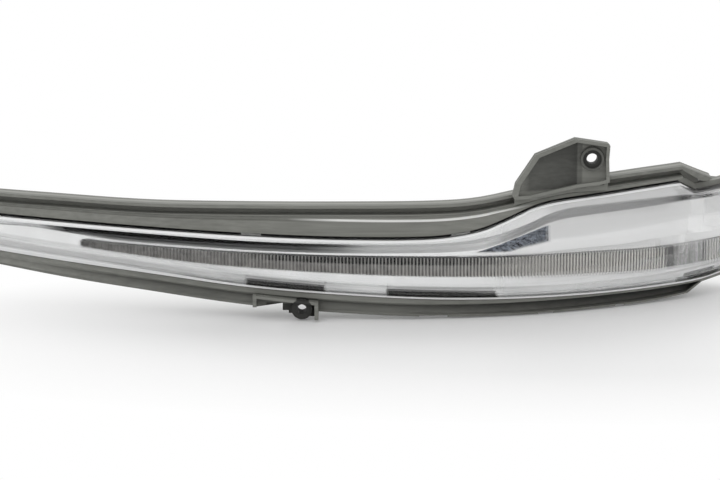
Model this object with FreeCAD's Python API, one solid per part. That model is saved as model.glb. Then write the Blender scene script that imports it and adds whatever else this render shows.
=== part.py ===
import FreeCAD, Part
import math
import os

# Turn-signal lamp of a wing mirror, in millimetres.
# X runs along the lamp to the tail that wraps round the mirror, +Y points away from the viewer, +Z is up.
# The origin is on the axis of the upper screw hole, where the screw's head seats.
# Depth is measured square to the lamp's curved front, inward from the plan line of the crown.

# Plan line of the lamp's front: two arcs that meet at the foremost point, and a tighter arc at the tail
apex_x = -69.5
apex_y = -14.0
left_radius = 300.0
right_radius = 195.0
tail_radius = 60.0
tail_turn = math.radians(35.0)
end_turn = math.radians(57.0)
left_end_x = -203.0
nose_gap = 4.0

# Lines of the front view, as places along X and heights
rim_top = [(-204, -14.4), (-172, -14.1), (-140, -14.3), (-108, -13.7), (-76, -13.3), (-45, -13.1),
           (-35, -12.4), (-25, -10.7), (-9, -8.1), (7, -7.0), (19, -6.4), (31, -6.1)]
lens_top = [(-204, -21.1), (-172, -21.4), (-140, -22.1), (-108, -23.0), (-76, -23.7), (-52, -23.7),
            (-44, -23.1), (-36, -21.8), (-29, -19.4), (-23, -16.9), (-16.5, -14.4), (-10, -13.3),
            (3, -12.3), (20, -11.2), (29.5, -10.8)]
lens_bottom = [(-204, -31.6), (-172, -33.9), (-140, -36.4), (-108, -39.6), (-76, -41.7), (-45, -43.4),
               (-13, -44.2), (20, -44.3), (38, -43.9), (46, -42.7), (60, -41.4)]
rim_bottom = [(-204, -36.4), (-172, -39.8), (-140, -42.8), (-108, -46.1), (-76, -48.3), (-45, -49.7),
              (-16, -50.1), (7, -49.8), (20, -49.6), (34, -48.6), (46, -47.0)]
cove_top = [(-204, -23.3), (-172, -23.6), (-140, -24.3), (-108, -25.4), (-76, -26.0), (-48, -25.9),
            (-35, -24.8), (-22.6, -21.6), (-9.7, -16.9), (3.5, -15.9), (20, -15.6), (30.5, -15.7),
            (37, -16.5), (46, -16.6), (64, -16.6)]
cove_bottom = [(-204, -24.4), (-172, -25.1), (-156, -26.6), (-124, -27.8), (-92, -28.6), (-60, -28.8),
               (-42, -28.7), (-35, -28.2), (-29, -26.7), (-22.5, -24.6), (-12.3, -20.8), (-3, -19.6),
               (20, -18.6), (45, -17.9), (60, -17.8)]
guide_top = [(-204, -25.6), (-172, -26.9), (-156, -27.6), (-124, -28.6), (-92, -29.5), (-60, -30.0),
             (-29, -30.7), (3, -31.2), (20, -31.8), (45, -31.6), (60, -31.4)]
guide_bottom = [(-204, -26.7), (-172, -28.6), (-156, -30.0), (-124, -32.7), (-92, -34.4), (-60, -35.8),
                (-29, -36.9), (3, -37.9), (20, -38.6), (45, -38.3), (60, -37.8)]
crease = [(-204, -27.8), (-172, -30.6), (-140, -33.1), (-108, -36.1), (-76, -38.4), (-45, -39.8),
          (-10, -40.9), (20, -40.8), (45, -39.5), (60, -38.7)]
tail_lens_top = [(35.7, -14.6), (45, -14.4), (64, -14.2)]
tail_rim_top = [(37.2, -14.0), (38.3, -13.7), (40.8, -13.0), (44.4, -12.4), (64, -11.4)]
corner_x = 31.0
corner_end_x = 37.2
corner_wall = [(31.0, -9.1), (32.0, -10.3), (34.4, -12.2), (37.2, -14.0)]
wing_end = [(41.5, -11.3), (40.5, -12.1), (38.0, -11.8)]

# Housing
rim_front = 5.5
rim_back = 12.5
lip_thickness = 1.0
groove_height = 2.0
groove_floor = 9.5
band_front = 4.6
band_step = 0.7
lens_gap = 0.6
lower_gap = 0.4
ledge_depth = 8.6
ledge_width = 1.0
ledge_step = 0.3
tub_grow = 0.2
tub_back = 24.0
wall = 2.0
end_wall = 1.4
tail_end_wall = 0.04
tail_edge = 1.3
rim_setback = 0.5
wing_bottom = [(34.1, -48.3), (40.7, -44.3)]
wing_wall = 0.9
dish_depth = 2.4
rim_notches = [(-50.0, 9.0, 0.6), (-14.0, 5.0, 0.5), (10.5, 3.0, 0.6)]

# Lens
crown_wall = 1.6
lens_wall = 1.0
edge_front = 3.8
crown_rise = 0.115
crown_steps = 6
crown_margin = 2.0
crown_sink = 0.6
crown_back = 20.0
block_front = 8.0
foot_depth = 8.0
lens_end = 0.02
lens_end_wall = 0.035
seal_thickness = 0.5
seal_inset = 0.2
seat_gap = 0.05
tabs = [(-107.5, 6.5), (-41.5, 6.0)]
tab_height = 0.35
tab_root = 0.5

# Reflector
land_front = 6.3
cove_depth = 3.6
sheet = 1.7
bezel_inset = 1.15
crease_drop = 0.9
fold_share = 0.35
panel_slope = 0.12
facet_depth = 1.0
facet_outline = [(-36.6, -29.2), (-28.9, -26.9), (-13.3, -21.6), (-13.3, -26.7), (-21.2, -28.1),
                 (-25.7, -29.3)]
slots = [(-108.9, -84.2), (-64.3, -30.0), (33.2, 43.6)]
slot_rise = 2.2
slot_height = 1.7

# Light bar
guide_front = 4.6
guide_back = 10.0
guide_gap = 0.2
flute_pitch = 1.1
flute_depth = 0.45
plain_setback = 0.6
guide_tip_x = -163.4
tip_length = 2.0
bar_end = 0.18
flutes_end_x = 25.6
optic_start_x = 28.9
optic_end_x = 39.4
tail_flute_pitch = 1.3
crystal_pitch = 1.9
crystal_depth = 0.7
crystal_grooves = (0.3, 0.55, 0.8)
optic_gap = 0.15

# Carrier, boards and what is on them
carrier_front = 13.7
carrier_thickness = 1.5
rail_height = 0.7
window_edge = 0.25
carrier_gap = 0.7
carrier_start_x = -150.0
carrier_end_x = 24.0
board_thickness = 1.2
board_rise = 2.6
board_drop = 3.4
led_size = (2.2, 1.1, 0.8)
led_count = 12
led_margin = 12.0
resistor_places = (-130, -112, -94, -76, -10, 4)
tail_start_x = 30.5
tail_board_end_x = 46.0
tail_led_places = (33.5, 37.5)
screw_places = [-125.0, -70.0, -15.0, 15.0]
screw_radius = 0.8
screw_head_radius = 1.35
screw_head_height = 1.1
screw_slot = 0.4
screw_length = 6.0
boss_radius = 1.5
boss_fit = 0.05

# Brackets
screw_hole_radius = 1.75
upper_ring_radius = 3.7
ring_length = 4.4
plate_front = 1.2
plate_thickness = 2.0
bracket_lip = 1.8
bracket_lip_width = 1.05
bracket_side_width = 0.7
base_height = 1.6
ring_recess_radius = 2.9
ring_recess = 0.9
fold_x = -5.0
bracket_left = (-25.4, -6.0)
bracket_right_x = 5.6
bracket_outline = [(-24.6, -11.7), (-25.4, -10.6), (-24.5, -6.7), (-18.3, 2.1), (-5.5, 6.5), (4.9, 4.9),
                   (5.6, 4.2), (5.3, -0.2), (5.6, -7.4), (2.6, -8.2), (-4.0, -9.1), (-10.1, -10.1),
                   (-19.9, -11.7)]
lower_hole = (-91.5, -9.2, -46.4)
lower_hole_radius = 1.5
lower_ring_radius = 3.3
lower_ring_length = 6.0
shelf_left = (-107.0, -41.9)
shelf_right = (-86.3, -43.9)
shelf_front = 2.0
shelf_thickness = 0.9
leg_width = 1.2
left_leg_end = -45.7
right_leg_end = -49.5
gusset_end_x = -97.6
gusset_end_z = -45.1
gusset_foot = -46.7
gusset_front = 6.6
gusset_back = 8.4
left_leg_back = 7.5
right_leg_back = 9.5
lower_plate = [(-97.6, -42.6), (-97.6, -47.2), (-95.7, -47.2), (-95.7, -48.1), (-94.1, -48.1), (-91.5, -49.0),
               (-87.6, -49.2), (-86.9, -43.4)]

# Socket on the back, with its pins
socket_x = -60.0
socket_z = -33.0
socket_width = 13.0
socket_height = 9.0
socket_wall = 1.3
socket_length = 12.0
pin_size = 0.64
pin_pitch = 2.5
pin_count = 3
pin_reach = 6.5

# Vent on the back
vent_x = -96.0
vent_z = -31.8
vent_radius = 5.0
vent_height = 2.2
vent_rim = 1.0
breather_radius = 1.5

side = FreeCAD.Vector(0, 1, 0)
up = FreeCAD.Vector(0, 0, 1)
far = 90.0


def height(line, x):
    """Height at x of the smooth line through a few points."""
    if x <= line[0][0]:
        rise = (line[1][1] - line[0][1]) / (line[1][0] - line[0][0])
        return line[0][1] + rise * (x - line[0][0])
    if x >= line[-1][0]:
        rise = (line[-1][1] - line[-2][1]) / (line[-1][0] - line[-2][0])
        return line[-1][1] + rise * (x - line[-1][0])
    i = 0
    while x > line[i + 1][0]:
        i += 1
    x0, z0 = line[i]
    x1, z1 = line[i + 1]
    span = x1 - x0
    before = slope(line, i)
    after = slope(line, i + 1)
    t = (x - x0) / span
    start = (1 + 2 * t) * (1 - t) ** 2 * z0 + t * (1 - t) ** 2 * span * before
    finish = t * t * (3 - 2 * t) * z1 + t * t * (t - 1) * span * after
    return start + finish


def slope(line, i):
    """Slope of the smooth line at its point number i."""
    first = max(i - 1, 0)
    last = min(i + 1, len(line) - 1)
    return (line[last][1] - line[first][1]) / (line[last][0] - line[first][0])


def between(upper, lower, share):
    """Line that lies a share of the way down from one line to another."""
    places = sorted({x for x, _ in upper} | {x for x, _ in lower})
    return [(x, height(upper, x) * (1 - share) + height(lower, x) * share) for x in places]


def lens_upper(x):
    """Top edge of the lens, with its cut corner and the lower tail."""
    if x <= lens_top[-1][0]:
        return height(lens_top, x)
    if x >= tail_lens_top[0][0]:
        return height(tail_lens_top, x)
    x0, z0 = lens_top[-1]
    x1, z1 = tail_lens_top[0]
    return z0 + (z1 - z0) * (x - x0) / (x1 - x0)


def plan_arc(turn):
    """Centre and radius of the plan arc that a heading lies on."""
    if turn < 0:
        return apex_x, apex_y + left_radius, left_radius
    if turn <= tail_turn:
        return apex_x, apex_y + right_radius, right_radius
    shift = right_radius - tail_radius
    centre_x = apex_x + shift * math.sin(tail_turn)
    centre_y = apex_y + right_radius - shift * math.cos(tail_turn)
    return centre_x, centre_y, tail_radius


def on_plan(turn, depth):
    """Point of the plan at a heading and a depth behind the crown line."""
    centre_x, centre_y, radius = plan_arc(turn)
    return centre_x + (radius - depth) * math.sin(turn), centre_y - (radius - depth) * math.cos(turn)


def turn_at(x, depth=0.0):
    """Heading at which the plan line of this depth passes x."""
    if x <= apex_x:
        return math.asin((x - apex_x) / (left_radius - depth))
    turn = math.asin(min(1.0, (x - apex_x) / (right_radius - depth)))
    if turn <= tail_turn:
        return turn
    centre_x, _, radius = plan_arc(end_turn)
    return math.asin(min(1.0, (x - centre_x) / (radius - depth)))


def turns_along(first_turn, last_turn, pitch, depth):
    """Headings spaced evenly along the plan line of a depth."""
    def length(turn):
        if turn < 0:
            return turn * (left_radius - depth)
        if turn <= tail_turn:
            return turn * (right_radius - depth)
        return tail_turn * (right_radius - depth) + (turn - tail_turn) * (tail_radius - depth)

    def heading(run):
        if run < 0:
            return run / (left_radius - depth)
        if run <= tail_turn * (right_radius - depth):
            return run / (right_radius - depth)
        return tail_turn + (run - tail_turn * (right_radius - depth)) / (tail_radius - depth)

    start = length(first_turn)
    whole = length(last_turn) - start
    count = max(1, round(whole / pitch))
    return [heading(start + whole * i / count) for i in range(count + 1)]


def plan_edges(first_turn, last_turn, depth):
    """Arcs of the plan line of one depth, from one heading to another."""
    marks = [first_turn] + [t for t in (0.0, tail_turn) if first_turn < t < last_turn] + [last_turn]
    edges = []
    for start, finish in zip(marks, marks[1:]):
        middle = (start + finish) / 2
        points = []
        for turn in (start, middle, finish):
            centre_x, centre_y, radius = plan_arc(middle)
            reach = radius - depth
            x = centre_x + reach * math.sin(turn)
            y = centre_y - reach * math.cos(turn)
            points.append(FreeCAD.Vector(x, y, 0))
        edges.append(Part.Arc(*points).toShape())
    return edges


def slab(front, back, first_turn=None, last_turn=None):
    """Upright curved wall between two depths."""
    first_turn = turn_at(left_end_x - 4, front) if first_turn is None else first_turn
    last_turn = end_turn if last_turn is None else last_turn
    outer = plan_edges(first_turn, last_turn, front)
    inner = plan_edges(first_turn, last_turn, back)
    ends = [Part.makeLine(outer[0].Vertexes[0].Point, inner[0].Vertexes[0].Point),
            Part.makeLine(outer[-1].Vertexes[-1].Point, inner[-1].Vertexes[-1].Point)]
    wire = Part.Wire(Part.__sortEdges__(outer + inner + ends))
    face = Part.Face(wire)
    face.translate(up * -far)
    return face.extrude(up * 2 * far)


def prism(points):
    """Straight-sided outline of the front view, drawn through along Y."""
    corners = [FreeCAD.Vector(x, -far, z) for x, z in points]
    return Part.Face(Part.makePolygon(corners + corners[:1])).extrude(side * 2 * far)


def smooth_edge(line_height, x0, x1, step=9.0):
    """Edge of the front view that follows a smooth line from x0 to x1."""
    count = max(2, math.ceil(abs(x1 - x0) / step))
    places = [x0 + (x1 - x0) * i / count for i in range(count + 1)]
    curve = Part.BSplineCurve()
    curve.interpolate([FreeCAD.Vector(x, -far, line_height(x)) for x in places])
    return curve.toShape()


def band(upper, lower, x0, x1, step=9.0):
    """Strip of the front view between two lines, drawn through along Y."""
    top = smooth_edge(upper, x0, x1, step)
    bottom = smooth_edge(lower, x0, x1, step)
    ends = []
    for x in (x0, x1):
        ends.append(Part.makeLine(FreeCAD.Vector(x, -far, upper(x)), FreeCAD.Vector(x, -far, lower(x))))
    return Part.Face(Part.Wire(Part.__sortEdges__([top, bottom] + ends))).extrude(side * 2 * far)


def offset(line, rise):
    """Smooth line raised by a fixed amount."""
    return lambda x: height(line, x) + rise


def loft(section, places):
    """Solid through sections square to the plan line, each a closed outline of depths and lines."""
    wires = []
    for x in places:
        turn = turn_at(x) if x <= on_plan(end_turn, 0)[0] else end_turn
        corners = []
        for depth, line in section(x):
            px, py = on_plan(turn, depth)
            corners.append(FreeCAD.Vector(px, py, line(px)))
        wires.append(Part.makePolygon(corners + corners[:1]))
    return Part.makeLoft(wires, True, False)


def stations(x0, x1):
    """Places of the loft sections, closer together where the lens edge swings up."""
    close = [-55, -47, -41, -35, -29, -23, -16.5, -10]
    wide = [-190, -172, -155, -140, -124, -108, -92, -76, -63, -3, 5, 13, 21, 29, 36, 42, 47, 52]
    inner = sorted(x for x in close + wide if x0 + 3 < x < x1 - 3)
    return [x0] + inner + [x1]


def tube_y(radius, x, y, z, length):
    """Round bar along Y, starting at a point."""
    return Part.makeCylinder(radius, length, FreeCAD.Vector(x, y, z), side)


def post_y(radius, x, y, z, length):
    """Eight-sided bar along Y, starting at a point."""
    corners = []
    for i in range(8):
        turn = math.radians(45 * i + 22.5)
        corners.append(FreeCAD.Vector(x + radius * math.cos(turn), y, z + radius * math.sin(turn)))
    return Part.Face(Part.makePolygon(corners + corners[:1])).extrude(side * length)


def box(x0, x1, y0, y1, z0, z1):
    """Box between two corners."""
    return Part.makeBox(x1 - x0, y1 - y0, z1 - z0, FreeCAD.Vector(x0, y0, z0))


def straight(a, b):
    """Straight line of the front view through two points."""
    return lambda x: a[1] + (b[1] - a[1]) * (x - a[0]) / (b[0] - a[0])


def end_outline(inset):
    """Front-view outline of the lens, drawn in by an inset, rounded at the left end."""
    right_x = tail_lens_top[-1][0]
    x0 = left_end_x + nose_gap + inset
    half = (height(lens_top, x0) - height(lens_bottom, x0)) / 2 - inset
    start = x0 + half
    corner = lens_top[-1][0] - inset / 5
    heel = tail_lens_top[0][0] - inset / 5
    top = smooth_edge(offset(lens_top, -inset), start, corner)
    cut_from = FreeCAD.Vector(corner, -far, height(lens_top, corner) - inset)
    cut_to = FreeCAD.Vector(heel, -far, height(tail_lens_top, heel) - inset)
    tail = smooth_edge(offset(tail_lens_top, -inset), heel, right_x)
    bottom = smooth_edge(offset(lens_bottom, inset), start, right_x)
    tail_end = FreeCAD.Vector(right_x, -far, height(tail_lens_top, right_x) - inset)
    foot_end = FreeCAD.Vector(right_x, -far, height(lens_bottom, right_x) + inset)
    upper = FreeCAD.Vector(start, -far, height(lens_top, start) - inset)
    lower = FreeCAD.Vector(start, -far, height(lens_bottom, start) + inset)
    middle = FreeCAD.Vector(x0, -far, (upper.z + lower.z) / 2)
    nose = Part.Arc(upper, middle, lower).toShape()
    edges = [top, Part.makeLine(cut_from, cut_to), tail, Part.makeLine(tail_end, foot_end), bottom, nose]
    return Part.Face(Part.Wire(Part.__sortEdges__(edges))).extrude(side * 2 * far)


def upper_rim():
    """Channel-shaped rim above the lens: lip, groove, inner wall and the broad band with its step."""
    inner_top = offset(rim_top, -lip_thickness - groove_height)
    inner_bottom = offset(lens_top, lens_gap)

    def share(part):
        return lambda x: inner_top(x) + (inner_bottom(x) - inner_top(x)) * part

    def section(x):
        tall = inner_top(x) - inner_bottom(x)
        step = band_step * min(1.0, tall / 5.0)
        inner_front = rim_front - rim_setback
        lip_under = offset(rim_top, -lip_thickness)
        return [(rim_front, offset(rim_top, 0)), (rim_back, offset(rim_top, 0)), (rim_back, inner_bottom),
                (band_front, inner_bottom), (inner_front, share(0.32)), (inner_front + step, share(0.25)),
                (inner_front + step, share(0.09)), (inner_front, share(0.05)), (inner_front, inner_top),
                (groove_floor, inner_top), (groove_floor, lip_under), (rim_front, lip_under)]

    body = loft(section, stations(left_end_x, corner_x + 9.0))
    body = body.common(box(-400, corner_x, -far, far, -far, far))
    edge = slab(rim_front + 0.3, rim_back - 0.3, turn_at(left_end_x + 0.3), turn_at(left_end_x + end_wall))
    top = offset(rim_top, -lip_thickness / 2)
    shut = band(top, offset(lens_top, lens_gap + 0.3), left_end_x - 3, left_end_x + 9, 3.0)
    return body.fuse(edge.common(shut))


def corner_rim():
    """End of the upper rim, which turns down over the lens corner to the wing tip."""
    start = height(rim_top, corner_x)
    heel = tail_lens_top[0][0]
    foot = [(corner_end_x, lens_upper(corner_end_x) + lens_gap), (heel, lens_upper(heel) + lens_gap),
            (corner_x, lens_upper(corner_x) + lens_gap)]
    slant = straight((corner_x, start), wing_end[0])
    lip = prism([(corner_x, start)] + wing_end + [(corner_x, start - lip_thickness * 1.3)])
    floor = prism([(corner_x, start), (corner_end_x, slant(corner_end_x))] + foot)
    wall_front = prism(corner_wall + foot)
    return [slab(rim_front, rim_back).common(lip), slab(groove_floor, rim_back).common(floor),
            slab(rim_front - rim_setback, rim_back).common(wall_front)]


def tail_rim_walls():
    """Thin edge of the housing above and below the lens tail."""
    far_x = tail_lens_top[-1][0]
    top = band(offset(tail_rim_top, 0), offset(tail_lens_top, lens_gap), corner_end_x - 0.5, far_x)
    low = band(offset(lens_bottom, -lower_gap), offset(lens_bottom, -tail_edge), wing_end[-1][0], far_x)
    back = slab(band_front, rim_back)
    return [back.common(top), back.common(low)]


def lower_rim():
    """Sloping lip under the lens, with its shallow fold and the wing at its right end."""
    upper = offset(lens_bottom, -lower_gap)

    def share(part):
        return lambda x: upper(x) + (height(rim_bottom, x) - upper(x)) * part

    def section(x):
        inward = 1.2 * min(1.0, max(0.0, (x + 190) / 60))
        dish = min(1.0, max(0.0, (x + 60) / 70))
        deep = band_front + 0.5 + inward + dish_depth * dish
        return [(band_front, upper), (band_front, share(0.25 - 0.13 * dish)),
                (deep, share(0.45 - 0.2 * dish)), (deep - 0.4, share(0.78)),
                (band_front + 0.9, share(0.84)), (band_front + 1.0, share(0.96)),
                (band_front + 2.6, offset(rim_bottom, 0)), (rim_back, offset(rim_bottom, 0.6)),
                (rim_back, upper)]

    body = loft(section, stations(left_end_x, 46.0))
    low, high = wing_bottom
    body = body.cut(prism([low, high, (high[0], -30.0), (60.0, -30.0), (60.0, -60.0), (low[0], -60.0)]))
    end = prism([low, high, (high[0] - wing_wall * 1.3, high[1] - 0.1), (low[0] - wing_wall, low[1] + 0.4)])
    body = body.fuse(slab(band_front + 1.1, rim_back - 0.4).common(end))
    for x, width, rise in rim_notches:
        level = height(rim_bottom, x) + rise
        half = width / 2
        cut = [(x - half, level), (x + half, level), (x + half + rise, -60), (x - half - rise, -60)]
        body = body.cut(prism(cut))
    return body


def tub():
    """Box behind the lens that holds everything, open to the front."""
    far_x = tail_lens_top[-1][0]
    crest_x, crest = lens_top[-1]
    heel_x, heel = tail_lens_top[0]
    above = rim_top[-1][1] + lip_thickness
    parts = []
    ledge = (ledge_depth, rim_back - 0.8, lens_gap + ledge_width)
    for front, back, grow in (ledge, (rim_back - 1.3, tub_back, tub_grow)):
        main = band(offset(lens_top, grow), offset(lens_bottom, -grow), left_end_x, corner_x)
        cap = band(offset(lens_top, grow), offset(lens_bottom, -grow), corner_x - 11, heel_x)
        low = offset(lens_bottom, -min(grow, tail_edge))
        tail = band(offset(tail_lens_top, grow), low, corner_x - 1, far_x)
        shape = slab(front, back)
        lower_part = shape.common(tail)
        cut_corner = [(corner_x - 2, above), (corner_x - 2, lens_upper(corner_x - 2) + grow),
                      (crest_x + grow * 0.3, crest + grow), (heel_x + grow * 0.3, heel + grow),
                      (heel_x + 8, heel + grow), (heel_x + 8, above)]
        upper_part = shape.common(main.fuse(cap)).cut(prism(cut_corner))
        parts += [upper_part, lower_part]
    body = parts[0].fuse(parts[1:])
    hollow = slab(ledge_depth - 2, tub_back - wall, turn_at(left_end_x), end_turn - tail_end_wall)
    return body.cut(hollow.common(end_outline(lens_wall + ledge_step)))


def folded_plate(front, thickness):
    """Upright plate with one fold, its front at a distance behind the bracket's front line."""
    left_x, left_y = bracket_left
    reach = 3.0
    slope_y = (plate_front - left_y) / (fold_x - left_x)
    path = [(left_x - reach, left_y - reach * slope_y), (fold_x, plate_front),
            (bracket_right_x + reach, plate_front)]
    line = [FreeCAD.Vector(x, y + front, -far) for x, y in path]
    back = [FreeCAD.Vector(x, y + front + thickness, -far) for x, y in reversed(path)]
    return Part.Face(Part.makePolygon(line + back + line[:1])).extrude(up * 2 * far)


def upper_bracket():
    """Folded bracket with the screw ring and a lip all round, standing on the inner wall of the rim."""
    outline = prism(bracket_outline)
    around = [FreeCAD.Vector(x, -far, z) for x, z in bracket_outline]
    face = Part.Face(Part.makePolygon(around + around[:1]))
    hollow = face.makeOffset2D(-bracket_lip_width, 2).extrude(side * 2 * far)
    shifted = hollow.copy()
    shifted.translate(FreeCAD.Vector(bracket_side_width, 0, 0))
    web = folded_plate(0.0, plate_thickness).common(outline)
    lip = folded_plate(-bracket_lip, bracket_lip + plate_thickness / 2).common(outline)
    lip = lip.cut(hollow.common(shifted))
    left_x, left_y = bracket_left
    shelf = [(left_x + 0.8, left_y + 1.0), (fold_x, plate_front + 0.5),
             (bracket_right_x - 0.4, plate_front + 0.5), (bracket_right_x - 0.4, 13.0), (left_x + 0.8, 3.0)]
    corners = [FreeCAD.Vector(x, y, -far) for x, y in shelf]
    base = Part.Face(Part.makePolygon(corners + corners[:1])).extrude(up * 2 * far)
    rise = -lip_thickness - groove_height
    upper = offset(rim_top, rise + base_height)
    base = base.common(band(upper, offset(rim_top, rise - 0.2), left_x - 1, bracket_right_x + 1, 4.0))
    cheek = box(bracket_right_x - 1.6, bracket_right_x - 0.3, plate_front + 0.5, 12.0, -9.0, -2.0)
    ring = tube_y(upper_ring_radius, 0, -ring_recess, 0, ring_length + ring_recess)
    ring = ring.cut(tube_y(ring_recess_radius, 0, -2 * ring_recess, 0, 2 * ring_recess))
    return [web, lip, base, cheek, ring]


def lower_bracket():
    """Shelf, legs and ring under the lower lip."""
    x0, x1 = shelf_left[0], shelf_right[0]
    top = straight(shelf_left, shelf_right)
    shelf = slab(shelf_front, groove_floor).common(band(top, lambda x: top(x) - shelf_thickness, x0, x1))
    left = slab(shelf_front, left_leg_back).common(prism([(x0, top(x0)), (x0 + leg_width, top(x0)),
                                                (x0 + leg_width, left_leg_end), (x0, left_leg_end)]))
    right = slab(shelf_front, right_leg_back).common(prism([(x1 - leg_width, top(x1)), (x1, top(x1)),
                                                 (x1, right_leg_end), (x1 - leg_width, right_leg_end)]))
    gusset = prism([(x0 + 0.2, top(x0)), (gusset_end_x, top(gusset_end_x)), (gusset_end_x, gusset_end_z),
                    (x0 + 0.2, gusset_foot)])
    gusset = slab(gusset_front, gusset_back).common(gusset)
    hole_x, hole_y, hole_z = lower_hole
    plate = prism(lower_plate)
    plate = plate.common(box(-120, -80, hole_y + 2.0, hole_y + 4.2, -60, -30))
    ring = tube_y(lower_ring_radius, hole_x, hole_y, hole_z, lower_ring_length)
    return [shelf, left, right, gusset, plate, ring]


def socket():
    """Socket for the plug, on the back of the tub."""
    back_y = on_plan(turn_at(socket_x, tub_back), tub_back)[1]
    outer = box(socket_x - socket_width / 2, socket_x + socket_width / 2,
                back_y - 1.5, back_y + socket_length,
                socket_z - socket_height / 2, socket_z + socket_height / 2)
    outer = outer.makeFillet(1.5, [e for e in outer.Edges if abs(e.tangentAt(e.FirstParameter).y) > 0.9])
    latch = box(socket_x - 2.0, socket_x + 2.0, back_y + 5.0, back_y + 7.0,
                socket_z + socket_height / 2 - 0.2, socket_z + socket_height / 2 + 1.2)
    inner = box(socket_x - socket_width / 2 + socket_wall, socket_x + socket_width / 2 - socket_wall,
                back_y + 1.0, back_y + socket_length + 1, socket_z - socket_height / 2 + socket_wall,
                socket_z + socket_height / 2 - socket_wall)
    return outer.fuse(latch), inner


def pin_x(i):
    """Place along X of a connector pin."""
    return socket_x + (i - (pin_count - 1) / 2) * pin_pitch


def screw_spot(x):
    """Place of a carrier screw: centre height and the Y of the carrier's front there."""
    z = height(lens_top, x) - lens_wall - boss_radius - 0.35
    y = on_plan(turn_at(x, carrier_front), carrier_front)[1]
    return y, z


def join(body, pieces):
    """One solid from a body and the pieces added to it, one after another."""
    for piece in pieces:
        body = body.fuse(piece)
    return body


def rear_housing():
    """One moulding: rim, tub, both brackets, socket, vent seat and screw bosses."""
    pieces = [upper_rim()] + corner_rim() + tail_rim_walls() + [lower_rim()]
    shelf_line = straight(shelf_left, shelf_right)
    notch_left = shelf_left[0] + leg_width / 2
    notch_right = shelf_right[0] - leg_width / 2
    notch = prism([(notch_left, shelf_line(notch_left) - shelf_thickness / 2),
                   (notch_right, shelf_line(notch_right) - shelf_thickness / 2),
                   (notch_right, -far), (notch_left, -far)])
    pieces[-1] = pieces[-1].cut(notch)
    outer, inner = socket()
    lower = lower_bracket()
    body = join(tub(), pieces + upper_bracket() + [join(lower[0], lower[1:]), outer])
    body = body.cut(inner)
    seat_y = vent_seat()
    seat = tube_y(vent_radius + vent_rim, vent_x, seat_y - wall, vent_z, wall + vent_rim)
    seat = seat.cut(tube_y(vent_radius, vent_x, seat_y, vent_z, wall))
    body = body.fuse(seat)
    body = body.cut(tube_y(breather_radius, vent_x, seat_y - 3 * wall, vent_z, 4 * wall))
    bosses = []
    for x in screw_places:
        y, z = screw_spot(x)
        back_y = on_plan(turn_at(x, tub_back), tub_back)[1]
        turn = turn_at(x, carrier_front)
        top_y = y + (carrier_thickness + seat_gap) / math.cos(turn) + boss_radius * abs(math.tan(turn))
        bosses.append(post_y(boss_radius, x, top_y, z, back_y - 0.5 - top_y))
    body = join(body, bosses)
    for x in screw_places:
        y, z = screw_spot(x)
        body = body.cut(tube_y(screw_radius + boss_fit, x, y, z, screw_length + 0.5))
    for i in range(pin_count):
        hole = box(pin_x(i) - pin_size / 2, pin_x(i) + pin_size / 2, -far, far,
                   socket_z - pin_size / 2, socket_z + pin_size / 2)
        body = body.cut(hole)
    body = body.cut(tube_y(screw_hole_radius, 0, -5, 0, 20))
    hole_x, hole_y, hole_z = lower_hole
    body = body.cut(tube_y(lower_hole_radius, hole_x, hole_y - 5, hole_z, 20))
    return body


def crown_block(setback):
    """Solid behind the bulging front of the lens, set back by a distance."""
    crown_line = lens_top + tail_lens_top[-1:]
    wires = []
    for x in stations(left_end_x + 2, on_plan(end_turn, 0)[0] - 0.6):
        turn = turn_at(x)
        top_x = on_plan(turn, edge_front)[0]
        upper = height(crown_line, top_x)
        lower = height(lens_bottom, top_x)
        middle = (upper + lower) / 2
        half = (upper - lower) / 2 + crown_margin
        rise = crown_rise * (upper - lower)
        section = []
        for i in range(crown_steps + 1):
            share = 2 * i / crown_steps - 1
            depth = edge_front + setback - rise + (rise + crown_sink) * share ** 2
            section.append((depth, middle + half * share))
        section += [(crown_back, middle + half), (crown_back, middle - half)]
        corners = []
        for depth, z in section:
            px, py = on_plan(turn, depth)
            corners.append(FreeCAD.Vector(px, py, z))
        wires.append(Part.makePolygon(corners + corners[:1]))
    return Part.makeLoft(wires, True, False)


def outer_lens():
    """Clear cover: bulging front with a wall all round that stands on the ledge."""
    outside = end_outline(0).common(slab(-block_front, foot_depth, None, end_turn - lens_end))
    inner_end = end_turn - lens_end - lens_end_wall
    inside = end_outline(lens_wall).common(slab(-block_front, 2 * foot_depth, None, inner_end))
    lens = outside.common(crown_block(0)).cut(inside.common(crown_block(crown_wall)))
    for x, width in tabs:
        half = width / 2
        tab = band(offset(lens_top, tab_height), offset(lens_top, -tab_root), x - half, x + half, 2.0)
        lens = lens.fuse(slab(edge_front + tab_root, foot_depth - tab_root).common(tab))
    return lens


def lens_seal():
    """Bead between the lens foot and the ledge."""
    front = foot_depth + seat_gap
    ring = slab(front, front + seal_thickness, None, end_turn - lens_end - 0.002)
    return ring.common(end_outline(seal_inset).cut(end_outline(lens_wall - seal_inset)))


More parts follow.
